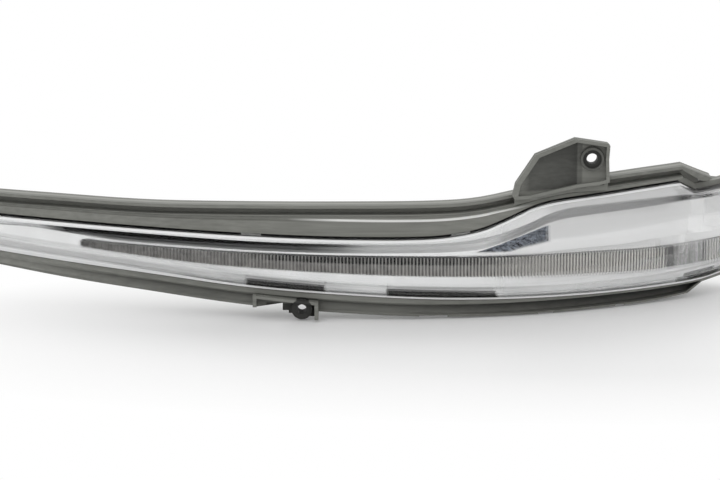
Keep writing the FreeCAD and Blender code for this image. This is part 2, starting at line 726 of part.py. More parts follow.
def reflector_bezel():
    """Metallised inner trim: upper land, hollow cove, sloping panel, slot for the light bar, lower lands."""
    fold = between(cove_bottom, guide_top, 1 - fold_share)
    top_edge = lambda x: height(lens_top, min(x, lens_top[-1][0])) - 0.3
    low_edge = offset(lens_bottom, bezel_inset / 2)

    def section(x):
        panel = height(cove_bottom, x) - height(guide_top, x)
        cove_reach = cove_depth * min(1.0, max(0.25, (height(cove_top, x) - height(cove_bottom, x)) / 3.0))
        head = land_front + panel_slope * max(0.0, panel - 1.0)
        rear = land_front + sheet
        front = [(land_front, top_edge), (land_front + 0.2, offset(cove_top, 0)),
                 (land_front + cove_reach * 0.8, between_at(0.2)), (land_front + cove_reach, between_at(0.5)),
                 (land_front + cove_reach * 0.8, between_at(0.8)), (head, offset(cove_bottom, 0)),
                 (land_front, offset(fold, 0)), (land_front, offset(guide_top, 0)),
                 (land_front, offset(guide_bottom, 0)), (land_front - 0.3, offset(crease, 0)),
                 (land_front + 0.4, offset(crease, -crease_drop)), (land_front + 0.5, low_edge)]
        behind = [(rear + 0.5, low_edge), (rear + 0.4, offset(crease, -crease_drop)),
                  (rear, offset(crease, 0)), (rear + 0.2, offset(guide_bottom, 0)),
                  (rear + 0.2, offset(guide_top, 0)), (rear + 0.3, offset(fold, 0)),
                  (max(head, land_front + 0.6) + sheet, offset(cove_bottom, -0.6)),
                  (rear + cove_reach, between_at(0.8)), (rear + cove_reach, between_at(0.2)),
                  (rear + 0.4, offset(cove_top, 0)), (rear, top_edge)]
        return front + behind

    def between_at(share):
        return lambda x: height(cove_top, x) * (1 - share) + height(cove_bottom, x) * share

    end_x = on_plan(end_turn, 0)[0]
    body = loft(section, stations(left_end_x + 4, end_x - 3.2))
    body = body.common(end_outline(bezel_inset))
    opening = bar_outline(guide_gap, tail_lens_top[-1][0] + 6)
    opening = opening.common(slab(-5, 20, None, end_turn - bar_end + 0.02))
    body = body.cut(opening)
    half = slot_height / 2
    for x0, x1 in slots:
        z0 = height(lens_bottom, x0) + slot_rise - half
        z1 = height(lens_bottom, x1) + slot_rise - half
        run = prism([(x0, z0 + half), (x1, z1 + half * 0.8), (x1 - 1.0, z1 - half), (x0, z0 - half)])
        run = run.fuse(tube_y(half, x0, -far, z0, 2 * far))
        body = body.cut(run.common(slab(0, 12)))
    pocket = prism(facet_outline).common(slab(0, land_front + facet_depth))
    return body.cut(pocket)


def fluted_bar(first_turn, last_turn, pitch, back, cut):
    """Bar with upright flutes across its front."""
    edge = turns_along(first_turn, last_turn, pitch / 2, guide_front)
    corners = []
    for i, turn in enumerate(edge):
        x, y = on_plan(turn, guide_front + (cut if i % 2 else 0))
        corners.append(FreeCAD.Vector(x, y, -far))
    front = Part.makePolygon(corners)
    rear = plan_edges(edge[0], edge[-1], back)
    for arc in rear:
        arc.translate(up * -far)
    ends = [Part.makeLine(corners[0], rear[0].Vertexes[0].Point),
            Part.makeLine(corners[-1], rear[-1].Vertexes[-1].Point)]
    wire = Part.Wire(Part.__sortEdges__(front.Edges + rear + ends))
    return Part.Face(wire).extrude(up * 2 * far)


def bar_outline(grow, x1):
    """Front-view outline of the light bar from its rounded tip to x1, grown by a gap."""
    tip_x = guide_tip_x + tip_length
    strip = band(offset(guide_top, grow), offset(guide_bottom, -grow), tip_x, x1)
    radius = (height(guide_top, tip_x) - height(guide_bottom, tip_x)) / 2 + grow
    return strip.fuse(tube_y(radius, tip_x, -far, guide_middle(tip_x), 2 * far))


def fluted_light_bar():
    """Main light bar, with a rounded tip at its left end and a plain block at its right."""
    first_turn = turn_at(guide_tip_x, guide_front)
    last_turn = turn_at(flutes_end_x, guide_front)
    body = fluted_bar(first_turn, last_turn, flute_pitch, guide_back, flute_depth)
    outline = bar_outline(0, optic_start_x + 5)
    plain_end = turn_at(optic_start_x - optic_gap, guide_front)
    plain = slab(guide_front + plain_setback, guide_back, last_turn, plain_end)
    return body.common(outline).fuse(plain.common(outline))


def end_optic():
    """Crystal-cut block between the two bars."""
    first_turn = turn_at(optic_start_x, guide_front)
    last_turn = turn_at(optic_end_x - optic_gap, guide_front)
    body = fluted_bar(first_turn, last_turn, crystal_pitch, guide_back, crystal_depth)
    body = body.common(band(offset(guide_top, 0), offset(guide_bottom, 0), flutes_end_x, optic_end_x + 9))
    for share in crystal_grooves:
        x = (optic_start_x + optic_end_x) / 2
        z = height(guide_top, x) * (1 - share) + height(guide_bottom, x) * share
        y = on_plan(turn_at(x, guide_front), guide_front)[1]
        groove = box(-15, 15, -0.45, 0.45, -0.45, 0.45)
        groove.rotate(FreeCAD.Vector(0, 0, 0), FreeCAD.Vector(1, 0, 0), 45)
        groove.rotate(FreeCAD.Vector(0, 0, 0), up, math.degrees(turn_at(x)))
        groove.translate(FreeCAD.Vector(x, y, z))
        body = body.cut(groove)
    return body


def tail_light_bar():
    """Fluted bar of the tail."""
    first_turn = turn_at(optic_end_x, guide_front)
    body = fluted_bar(first_turn, end_turn - bar_end, tail_flute_pitch, guide_back, flute_depth)
    far_x = tail_lens_top[-1][0]
    return body.common(band(offset(guide_top, 0), offset(guide_bottom, 0), optic_start_x, far_x))


def inner_carrier():
    """Black frame behind the trim that backs the bars and carries the board."""
    last_turn = end_turn - 0.1
    first_turn = turn_at(carrier_start_x, carrier_front)
    plate = slab(carrier_front, carrier_front + carrier_thickness, first_turn, last_turn)
    plate = plate.common(end_outline(lens_wall + carrier_gap))
    rails = slab(guide_back + 0.1, carrier_front + 0.5, first_turn, last_turn)
    far_x = tail_lens_top[-1][0]
    top = band(offset(guide_top, 0), offset(guide_top, -rail_height), carrier_start_x, far_x)
    low = band(offset(guide_bottom, rail_height), offset(guide_bottom, 0), carrier_start_x, far_x)
    edge = rail_height + window_edge
    for x0, x1 in ((carrier_start_x + 4, carrier_end_x), (tail_start_x, tail_board_end_x)):
        window = band(offset(guide_top, -edge), offset(guide_bottom, edge), x0, x1)
        depth = slab(carrier_front - 1, carrier_front + 3, first_turn, last_turn - 0.05)
        plate = plate.cut(window.common(depth))
    body = join(plate, [rails.common(top), rails.common(low)])
    for x in screw_places:
        y, z = screw_spot(x)
        body = body.cut(post_y(screw_radius + 0.15, x, y - 5, z, 12.0))
    return body


def guide_middle(x):
    """Height of the middle of the light bar."""
    return (height(guide_top, x) + height(guide_bottom, x)) / 2


def board(x0, x1):
    """Circuit board behind the carrier, between two places along X."""
    front = carrier_front + carrier_thickness + seat_gap
    top = lambda x: guide_middle(x) + board_rise
    bottom = lambda x: guide_middle(x) - board_drop
    outline = band(top, bottom, x0 - 3, x1 + 3)
    last_turn = min(turn_at(x1, front), end_turn - 0.14)
    return slab(front, front + board_thickness, turn_at(x0, front), last_turn).common(outline)


def standing(x, z, size, depth):
    """Small block that stands square on the plan line, its front face at a depth."""
    turn = turn_at(x, depth)
    block = box(-size[0] / 2, size[0] / 2, 0, size[2], -size[1] / 2, size[1] / 2)
    block.rotate(FreeCAD.Vector(0, 0, 0), up, math.degrees(turn))
    px, py = on_plan(turn, depth)
    block.translate(FreeCAD.Vector(px, py, z))
    return block


def row(blocks):
    """Group of separate solids."""
    return Part.makeCompound(blocks)


def main_leds():
    """Row of emitters on the front of the main board."""
    depth = carrier_front + carrier_thickness - led_size[2] - 0.02
    first = carrier_start_x + led_margin
    step = (carrier_end_x - 4 - first) / (led_count - 1)
    places = [first + step * i for i in range(led_count)]
    return row([standing(x, guide_middle(x), led_size, depth) for x in places])


def tail_leds():
    """Two emitters on the front of the tail board."""
    depth = carrier_front + carrier_thickness - led_size[2] - 0.05
    return row([standing(x, guide_middle(x), led_size, depth) for x in tail_led_places])


def on_board(places, size):
    """Parts soldered on the back of the main board, each at a place along X and a height off its middle."""
    depth = carrier_front + carrier_thickness + board_thickness + seat_gap * 2
    return row([standing(x, guide_middle(x) + rise, size, depth) for x, rise in places])


def screws():
    """Self-tapping screws that hold the carrier to the housing."""
    made = []
    for x in screw_places:
        y, z = screw_spot(x)
        under = y - seat_gap - head_lift(x)
        top = under - screw_head_height
        head = tube_y(screw_head_radius, x, top, z, screw_head_height)
        shank = post_y(screw_radius, x, under - 0.2, z, screw_length - 0.5)
        slot = box(x - screw_head_radius, x + screw_head_radius, top - 0.1, top + screw_slot,
                   z - screw_slot / 2, z + screw_slot / 2)
        made.append(head.fuse(shank).cut(slot))
    return row(made)


def head_lift(x):
    """How far a straight screw's head stands off the slanting carrier."""
    return screw_head_radius * abs(math.tan(turn_at(x, carrier_front)))


def board_link_ribbon():
    """Flat ribbon from the main board to the tail board."""
    front = carrier_front + carrier_thickness + board_thickness + seat_gap * 2
    first_turn = turn_at(carrier_end_x - 4, front)
    last_turn = turn_at(tail_start_x + 4, front)
    ribbon = slab(front, front + 0.3, first_turn, last_turn)
    return ribbon.common(band(lambda x: guide_middle(x) + 1.8, lambda x: guide_middle(x) - 1.8, 5.0, 50.0))


def connector_pins():
    """Pins from the back of the board through the wall into the socket."""
    front = carrier_front + carrier_thickness + board_thickness + seat_gap * 2
    made = []
    for i in range(pin_count):
        start_y = on_plan(turn_at(pin_x(i), front), front)[1] + 0.02
        back_y = on_plan(turn_at(socket_x, tub_back), tub_back)[1]
        half = pin_size / 2 - 0.01
        made.append(box(pin_x(i) - half, pin_x(i) + half, start_y, back_y + pin_reach,
                        socket_z - half, socket_z + half))
    return row(made)


def vent_seat():
    """Y of the flat seat of the vent, just clear of the slanting wall."""
    turn = turn_at(vent_x, tub_back)
    return on_plan(turn, tub_back)[1] + (vent_radius + vent_rim) * abs(math.tan(turn))


def vent_cap():
    """Round cap over the breather hole on the back."""
    base = vent_seat() + seat_gap
    cap = tube_y(vent_radius - 0.1, vent_x, base, vent_z, vent_height)
    for i in range(3):
        slot = box(-0.5, 0.5, base + vent_height - 0.6, base + vent_height + 1, 1.5, vent_radius + 1)
        slot.rotate(FreeCAD.Vector(0, 0, 0), side, 120 * i)
        slot.translate(FreeCAD.Vector(vent_x, 0, vent_z))
        cap = cap.cut(slot)
    return cap


def main():
    os.makedirs("parts", exist_ok=True)
    nodes = {
        "rear_housing": rear_housing(),
        "outer_lens": outer_lens(),
        "lens_seal": lens_seal(),
        "reflector_bezel": reflector_bezel(),
        "fluted_light_bar": fluted_light_bar(),
        "end_optic": end_optic(),
        "tail_light_bar": tail_light_bar(),
        "inner_carrier": inner_carrier(),
        "main_circuit_board": board(carrier_start_x + 3, carrier_end_x),
        "tail_circuit_board": board(tail_start_x, tail_board_end_x),
        "main_leds": main_leds(),
        "tail_leds": tail_leds(),
        "driver_chip": on_board([(-30.0, -0.3)], (5.0, 4.0, 1.2)),
        "rectifier_diodes": on_board([(-46.0, 0.9), (-46.0, -1.9)], (2.6, 1.5, 1.0)),
        "chip_resistors": on_board([(x, 0.6) for x in resistor_places], (2.0, 1.2, 0.5)),
        "filter_capacitor": on_board([(-38.5, -0.3)], (3.2, 2.5, 1.8)),
        "board_link_ribbon": board_link_ribbon(),
        "connector_pins": connector_pins(),
        "carrier_screws": screws(),
        "vent_cap": vent_cap(),
    }
    for name, shape in nodes.items():
        shape.exportStep("parts/" + name + ".step")
        print(name, len(shape.Solids), round(shape.Volume, 1), shape.isValid(), shape.BoundBox)


main()
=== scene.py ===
import math

import bpy
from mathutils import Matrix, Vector


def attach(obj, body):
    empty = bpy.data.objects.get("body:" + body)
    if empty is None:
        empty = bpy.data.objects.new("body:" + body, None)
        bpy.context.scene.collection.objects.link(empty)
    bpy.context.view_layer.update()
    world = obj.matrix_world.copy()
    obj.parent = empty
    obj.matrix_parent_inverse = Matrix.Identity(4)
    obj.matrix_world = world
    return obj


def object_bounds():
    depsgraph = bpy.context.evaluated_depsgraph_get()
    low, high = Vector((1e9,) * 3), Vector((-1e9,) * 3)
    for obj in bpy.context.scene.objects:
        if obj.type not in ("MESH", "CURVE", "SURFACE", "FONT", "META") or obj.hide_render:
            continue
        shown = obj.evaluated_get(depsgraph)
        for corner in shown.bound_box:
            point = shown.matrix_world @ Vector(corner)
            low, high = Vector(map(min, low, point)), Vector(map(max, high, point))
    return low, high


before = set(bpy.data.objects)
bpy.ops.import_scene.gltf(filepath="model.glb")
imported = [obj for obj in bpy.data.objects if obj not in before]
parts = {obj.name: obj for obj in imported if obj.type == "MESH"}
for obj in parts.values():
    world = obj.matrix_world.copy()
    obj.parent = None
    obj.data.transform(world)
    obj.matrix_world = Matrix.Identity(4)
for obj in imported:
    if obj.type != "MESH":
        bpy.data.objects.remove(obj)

cad_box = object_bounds()
scene = bpy.context.scene

# A millimetre in metres, and the millimetres in a metre
MM = 0.001
PER_METRE = 1000.0

# Ends of a ramp, the whole range of a share, and the range that most of a noise pattern lies in
RISING = (0.0, 1.0)
FALLING = (1.0, 0.0)
WHOLE = (0.0, 1.0)
NOISE_RANGE = (0.3, 0.7)

# Sockets of the mix node for numbers and for colours: first value, second value, result
MIX_SOCKETS = {"FLOAT": (2, 3, 0), "RGBA": (6, 7, 2)}

# Camera, which looks along +Y and a little down
camera_place = Vector((-0.0731745, -0.8367303, 0.1517675))
camera_drop = math.radians(12.0)
camera_lens = 134.92
camera_sensor = 36.0
camera_near = 0.01

# Plan of the lamp's front, in millimetres: centre and radius of the left, right and tail arcs
apex_x = -69.5
apex_y = -14.0
tail_start = 40.0
left_radius = 300.0
right_radius = 195.0
tail_radius = 60.0
tail_turn = math.radians(35.0)
left_arc = (apex_x, apex_y + left_radius, left_radius)
right_arc = (apex_x, apex_y + right_radius, right_radius)
tail_arc = (apex_x + (right_radius - tail_radius) * math.sin(tail_turn),
            apex_y + right_radius - (right_radius - tail_radius) * math.cos(tail_turn), tail_radius)

# The arcs with the place along X where each starts, for the whole lamp, the long bar and the tail bar
whole_plan = [(None, left_arc), (apex_x, right_arc), (tail_start, tail_arc)]
bar_plan = whole_plan[:2]
tail_plan = whole_plan[2:]

# Edges of the lens, the tabs at its top and the slots of the trim: places along X and heights, or stretches
# along X, in millimetres
lens_top = [(-204, -21.1), (-172, -21.4), (-140, -22.1), (-108, -23.0), (-76, -23.7), (-52, -23.7),
            (-44, -23.1), (-36, -21.8), (-29, -19.4), (-23, -16.9), (-16.5, -14.4), (-10, -13.3),
            (3, -12.3), (20, -11.2), (29.5, -10.8), (36, -14.4), (60, -14.2)]
lens_foot = [(-204, -31.6), (-172, -33.9), (-140, -36.4), (-108, -39.6), (-76, -41.7), (-45, -43.4),
             (-13, -44.2), (20, -44.3), (38, -43.9), (46, -42.7), (60, -41.4)]
tab_spans = [(-110.7, -104.3), (-44.5, -38.5)]
slot_spans = [(-108.9, -84.2), (-64.4, -29.8), (30.0, 48.0)]
tab_soft = 0.1
slot_soft = 0.5

# Noise patterns: scale, detail and, where they aren't the usual ones, roughness and stretch on each axis
flow_marks = (28.0, 5.0, 0.6, (0.35, 1.0, 1.6))
flow_streaks = (900.0, 4.0, 0.6, (0.02, 1.0, 1.0))
gloss_patches = (140.0, 5.0)
fine_grain = (2600.0, 3.0)
board_grain = (900.0, 3.0)
metal_haze = (55.0, 4.0)
metal_gloss = (190.0, 5.0)
mirror_waves = (70.0, 2.0)
lens_smears = (60.0, 5.0, 0.6)
seal_marks = (60.0, 4.0)
flute_haze = (420.0, 3.0)
flute_gloss = (90.0, 4.0)
cut_streaks = (420.0, 4.0, 0.6, (1.6, 1.6, 0.16))
cut_gloss = (200.0, 4.0)
plate_grain = (1500.0, 2.0, 0.8)
plate_gloss = (300.0, 4.0)

# Depth of the plastic's grain and radius of its softened edges, in metres
grain_depth = 0.00001
soft_edge = 0.00018
edge_samples = 6

# Index of clear acrylic, the colour of full shade, and the room above and below a line, in millimetres
acrylic_index = 1.49
deep_shade = (0.004, 0.004, 0.004)
line_margin = 1.0


class Field:
    """Value that varies over a surface: the output of a node, which can stand in a formula."""

    def __init__(self, tree, socket):
        self.tree = tree
        self.socket = socket

    def __add__(self, other):
        return combine("ADD", self, other)

    def __sub__(self, other):
        return combine("SUBTRACT", self, other)

    def __rsub__(self, other):
        return combine("SUBTRACT", other, self)

    def __mul__(self, other):
        return combine("MULTIPLY", self, other)

    def __truediv__(self, other):
        return combine("DIVIDE", self, other)


def add_node(tree, kind, inputs):
    """New node with its inputs given by name or number, each a field, a number, a colour or a vector."""
    node = tree.nodes.new(kind)
    feed(tree, node, inputs)
    return node


def feed(tree, node, inputs):
    """Gives a node its inputs."""
    for key, value in inputs.items():
        if isinstance(value, Field):
            tree.links.new(value.socket, node.inputs[key])
        else:
            node.inputs[key].default_value = value


def combine(operation, first, second):
    """Field that a sum makes of two values, of which one may be a number."""
    tree = first.tree if isinstance(first, Field) else second.tree
    node = add_node(tree, "ShaderNodeMath", {0: first, 1: second})
    node.operation = operation
    return Field(tree, node.outputs[0])


def largest(first, *others):
    """Largest of a few fields."""
    for other in others:
        first = combine("MAXIMUM", first, other)
    return first


def ramp(value, limits, ends=RISING):
    """Field that goes from one end to the other as the value goes from the first limit to the second."""
    node = add_node(value.tree, "ShaderNodeMapRange", {
        "Value": value, "From Min": limits[0], "From Max": limits[1], "To Min": ends[0], "To Max": ends[1]})
    return Field(value.tree, node.outputs["Result"])


def within(value, zone):
    """One between the two limits of a zone and zero outside; its last number is how soft its edges are."""
    low, high, soft = zone
    return ramp(value, (low - soft, low + soft)) * ramp(value, (high - soft, high + soft), FALLING)


def spans(along, stretches, soft):
    """One inside any of a few stretches along X."""
    first, *others = [within(along, (*stretch, soft)) for stretch in stretches]
    return sum(others, first)


def mixed(share, first, second, kind="FLOAT"):
    """Field that goes from the first value to the second as the share goes from 0 to 1."""
    first_key, second_key, result = MIX_SOCKETS[kind]
    node = share.tree.nodes.new("ShaderNodeMix")
    node.data_type = kind
    feed(share.tree, node, {"Factor": share, first_key: first, second_key: second})
    return Field(share.tree, node.outputs[result])


def tinted(colour, share, tint):
    """Colour that gives way to a tint by a share between 0 and 1."""
    return mixed(share, colour, (*tint, 1.0), "RGBA")


def blend_colours(value, first, second):
    """Colour that goes from the first to the second over the range of a noise pattern."""
    node = add_node(value.tree, "ShaderNodeValToRGB", {"Fac": value})
    for element, position, colour in zip(node.color_ramp.elements, NOISE_RANGE, (first, second)):
        element.position = position
        element.color = (*colour, 1.0)
    return Field(value.tree, node.outputs["Color"])


def own_place(tree):
    """Place on the object in its own metres."""
    return Field(tree, tree.nodes.new("ShaderNodeTexCoord").outputs["Object"])


def scaled(place, scale):
    """Place scaled along X, Y and Z."""
    node = add_node(place.tree, "ShaderNodeMapping", {"Vector": place, "Scale": scale})
    return Field(place.tree, node.outputs["Vector"])


def split(place):
    """X, Y and Z of a place, as three fields."""
    node = add_node(place.tree, "ShaderNodeSeparateXYZ", {"Vector": place})
    return [Field(place.tree, socket) for socket in node.outputs]


def distance(place, point):
    """Distance of a place from a point."""
    node = add_node(place.tree, "ShaderNodeVectorMath", {0: place, 1: point})
    node.operation = "DISTANCE"
    return Field(place.tree, node.outputs["Value"])


def noise(tree, scale, detail, roughness=0.55, stretch=(1.0, 1.0, 1.0)):
    """Noise in the object's own metres."""
    node = add_node(tree, "ShaderNodeTexNoise", {
        "Vector": scaled(own_place(tree), stretch), "Scale": scale, "Detail": detail, "Roughness": roughness})
    return Field(tree, node.outputs["Fac"])


def place_mm(tree):
    """Place on the object along X and Z, in millimetres, and its place in the plan."""
    place = own_place(tree)
    along, _, rise = split(place)
    return along * PER_METRE, rise * PER_METRE, scaled(place, (PER_METRE, PER_METRE, 0.0))


def arc_depth(plan, arc):
    """Depth behind one arc of the plan."""
    centre_x, centre_y, radius = arc
    return radius - distance(plan, (centre_x, centre_y, 0.0))


def front_depth(along, plan, arcs=whole_plan):
    """Depth behind the arcs of the curved front, in millimetres."""
    (_, first), *others = arcs
    depth = arc_depth(plan, first)
    for start, arc in others:
        depth = mixed(combine("GREATER_THAN", along, start), depth, arc_depth(plan, arc))
    return depth


def off_axis(along, rise, centre):
    """Distance from the axis along Y through a point, in millimetres."""
    side = along - centre[0]
    up = rise - centre[1]
    return combine("POWER", side * side + up * up, 0.5)


def line_share(along, line):
    """Share between 0 and 1 that follows the smooth line through a few points."""
    start, end = line[0][0], line[-1][0]
    node = add_node(along.tree, "ShaderNodeFloatCurve", {"Value": ramp(along, (start, end))})
    points = node.mapping.curves[0].points
    while len(points) < len(line):
        points.new(0.5, 0.5)
    for point, (x, share) in zip(points, line):
        point.location = ((x - start) / (end - start), share)
    node.mapping.update()
    return Field(along.tree, node.outputs["Value"])


def line_height(along, line):
    """Height of the smooth line through a few points, in millimetres."""
    low = min(z for _, z in line) - line_margin
    high = max(z for _, z in line) + line_margin
    shares = [(x, (z - low) / (high - low)) for x, z in line]
    return ramp(line_share(along, shares), WHOLE, (low, high))


def rounded(tree):
    """Normal that softens sharp edges."""
    node = add_node(tree, "ShaderNodeBevel", {"Radius": soft_edge})
    node.samples = edge_samples
    return Field(tree, node.outputs["Normal"])


def bump(height, depth, normal=None):
    """Normal with small hills of a depth in metres."""
    inputs = {"Height": height, "Distance": depth}
    if normal is not None:
        inputs["Normal"] = normal
    return Field(height.tree, add_node(height.tree, "ShaderNodeBump", inputs).outputs["Normal"])


def new_material(name):
    """Empty node material with a principled shader."""
    material = bpy.data.materials.new(name)
    material.use_nodes = True
    tree = material.node_tree
    return material, tree, tree.nodes["Principled BSDF"]


def moulded(name, light, dark, rough, grain=fine_grain):
    """Moulded plastic with a fine grain, faint flow marks and softened edges."""
    material, tree, shader = new_material(name)
    feed(tree, shader, {
        "Base Color": blend_colours(noise(tree, *flow_marks), dark, light),
        "Roughness": ramp(noise(tree, *gloss_patches), NOISE_RANGE, rough),
        "Normal": bump(noise(tree, *grain), grain_depth, rounded(tree))})
    return material


def plated(name, light, dark, rough):
    """Plated metal with faint haze."""
    material, tree, shader = new_material(name)
    feed(tree, shader, {
        "Base Color": blend_colours(noise(tree, *metal_haze), dark, light),
        "Metallic": 1.0,
        "Roughness": ramp(noise(tree, *metal_gloss), NOISE_RANGE, rough)})
    return material


# Housing: its two greys, the share of each pattern in them, and its gloss
housing_dark = (0.15, 0.152, 0.137)
housing_light = (0.255, 0.258, 0.236)
streaks_part = 0.55
mottle_part = 0.45
housing_rough = (0.6, 0.72)
housing_specular = 0.3

# Shade in the channel of the lower lip. Heights are from the lens's foot, depths from the lamp's front
lip_top = (-1.6, -0.9)
lip_foot = (-4.4, -2.6)
lip_foot_shades = (0.5, 1.0)
lip_front = 4.95
lip_back = (5.9, 7.6)
lip_back_along = (-60.0, -20.0)
lip_shades = (0.6, 0.85)
lip_shades_along = (-60.0, 20.0)
lip_limit = (9.0, 11.0)

# Shade of the housing behind the slots of the trim
ledge_depths = (8.5, 10.8, 0.05)
ledge_heights = (-44.5, -36.5, 0.2)
ledge_shade = 0.95

# Painted shade in the recess round the upper screw hole: radii of its floor and of its wall
upper_hole = (0.0, 0.0)
recess_floor = (2.8, 3.1)
recess_shades = (0.85, 0.5)
recess_wall = (3.9, 4.1)

# Shade under the shelf of the lower bracket, and its ring
shelf_along = (-103.0, -87.0, 0.5)
shelf_heights = (-45.2, -44.6)
shelf_shades = (0.8, 0.0)
shelf_depths = (4.7, 5.4)
lower_hole = (-91.5, -46.4)
ring_radii = (3.5, 3.7)
ring_shades = (0.85, 0.0)

# Shade of the upper bracket's web, which is deepest just left of the crease beside the ring
web_along = (-20.0, -4.7)
web_shades = (0.55, 0.7)
crease_along = (-4.8, -4.4)
crease_shades = (1.0, 0.55)
web_depths = (3.3, 4.3, 0.1)
web_heights = (-10.0, -9.2)

# Painted light on the floor of the rim's groove
groove_depths = (8.0, 10.2, 0.3)
groove_heights = (-18.9, -18.5)
groove_painted_light = (0.4, 0.4, 0.37)
groove_part = 0.5

# Highlight along the top of the rim's inner wall, as places along X and heights
glint_line = [(-100, -17.9), (-83, -18.0), (-60, -18.2), (-48, -18.1), (-38, -17.4), (-29, -15.9),
              (-20, -14.4)]
glint_width = (-0.3, 0.3, 0.12)
glint_along = (-88.0, -26.0, 8.0)
glint_depths = (4.0, 5.9, 0.1)
glint_tint = (0.95, 0.95, 0.93)
glint_part = 0.95


def housing_shade(along, rise, depth):
    """Shade in the lower lip, behind the slots, in the screw recesses and on the upper bracket's web."""
    from_foot = rise - line_height(along, lens_foot)
    back = ramp(along, lip_back_along, lip_back)
    inward = (depth - lip_front) / (back - lip_front)
    lip = ramp(inward, WHOLE) * ramp(along, lip_shades_along, lip_shades)
    lip = lip * ramp(from_foot, lip_foot, lip_foot_shades)
    lip = lip * (ramp(from_foot, lip_top, FALLING) * ramp(depth, lip_limit, FALLING))
    ledge = within(depth, ledge_depths) * within(rise, ledge_heights)
    ledge = ledge * spans(along, slot_spans, slot_soft)
    from_hole = off_axis(along, rise, upper_hole)
    recess = ramp(from_hole, recess_floor, recess_shades) * ramp(from_hole, recess_wall, FALLING)
    shelf = within(along, shelf_along) * ramp(rise, shelf_heights, shelf_shades)
    shelf = shelf * ramp(depth, shelf_depths)
    ring = ramp(off_axis(along, rise, lower_hole), ring_radii, ring_shades)
    web = ramp(along, web_along, web_shades) * ramp(along, crease_along, crease_shades)
    web = web * within(depth, web_depths)
    web = web * ramp(rise, web_heights)
    return largest(lip, ledge * ledge_shade, recess, shelf, ring, web)


def housing_grey():
    """Olive grey moulded plastic, with painted shade where light hardly reaches, painted light on the floor
    of its rim's groove and a painted highlight on its rim.
    """
    material, tree, shader = new_material("housing_grey")
    along, rise, plan = place_mm(tree)
    depth = front_depth(along, plan)
    tone = noise(tree, *flow_streaks) * streaks_part + noise(tree, *flow_marks) * mottle_part
    colour = blend_colours(tone, housing_dark, housing_light)
    colour = tinted(colour, housing_shade(along, rise, depth), deep_shade)
    # Painted light on the floor of the rim's groove, which lies in shade
    groove = within(depth, groove_depths) * ramp(rise, groove_heights)
    colour = tinted(colour, groove * groove_part, groove_painted_light)
    glint = within(rise - line_height(along, glint_line), glint_width)
    glint = glint * within(along, glint_along)
    glint = glint * within(depth, glint_depths)
    colour = tinted(colour, glint * glint_part, glint_tint)
    feed(tree, shader, {
        "Base Color": colour,
        "Specular IOR Level": housing_specular,
        "Roughness": ramp(noise(tree, *gloss_patches), NOISE_RANGE, housing_rough),
        "Normal": bump(noise(tree, *fine_grain), grain_depth, rounded(tree))})
    return material


# Trim: its two greys and the pale grey of its painted light, its share of metal, its gloss, and the depth of
# its waves in metres
trim_dark = (0.74, 0.745, 0.745)
trim_light = (0.82, 0.825, 0.825)
trim_painted_light = (0.97, 0.97, 0.97)
trim_metal = (1.0, 0.25)
trim_rough = (0.05, 0.12)
wave_depth = 0.00002

# Painted shade in the trim's cove, a dark band: its lower edge as places along X and heights, and how dark it
# is along X
cove_line = [(-175.6, -25.1), (-156, -25.6), (-140, -26.3), (-124, -26.7), (-108, -27.0), (-79, -27.4),
             (-60, -27.4), (-48, -27.3), (-42, -27.1), (-35, -26.5), (-29, -25.0), (-22.6, -23.1)]
cove_shade = [(-190, 0.0), (-176, 0.4), (-164, 0.97), (-100, 0.97), (-82, 0.8), (-72, 0.3), (-60, 0.14),
              (-30, 0.14), (-14, 0.34), (24, 0.4), (29, 0.6), (33, 1.0), (38, 1.0), (43, 0.4)]
cove_edge = (-0.25, 0.15)
cove_end = (-34.0, -24.0)
cove_lip_depths = (6.35, 6.6)
cove_depths = (6.9, 8.1)

# Painted shade, grey, below the band at the left, which gives way to painted light further right
grey_depths = (7.5, 8.6)
grey_shades = (0.2, 0.72)
grey_end = (-92.0, -72.0)

# Large panel with painted light, the corner at its right end, and the soft fold in it with painted shade, as
# places along X and heights
panel_start = (-36.0, -14.0)
panel_pale = 0.6
corner_start = (24.0, 29.0)
corner_sink = 0.8
corner_foot = (-18.4, -17.8)
panel_fold = [(-16, -26.2), (-13, -26.2), (9, -25.2), (34, -23.6), (50, -22.8)]
fold_edge = (-0.2, 0.2)
fold_shades = (0.0, 0.16)
fold_start = (-16.0, -12.0)

# Places with painted light, pale: the flange under the lens's top edge, the brim over the slots and the land
# at the far left
flange_heights = (-2.3, -2.0)
flange_depths = (6.5, 6.7)
brim_heights = (3.3, 3.7)
land_heights = (3.4, 4.4)
land_end = (-125.0, -95.0)


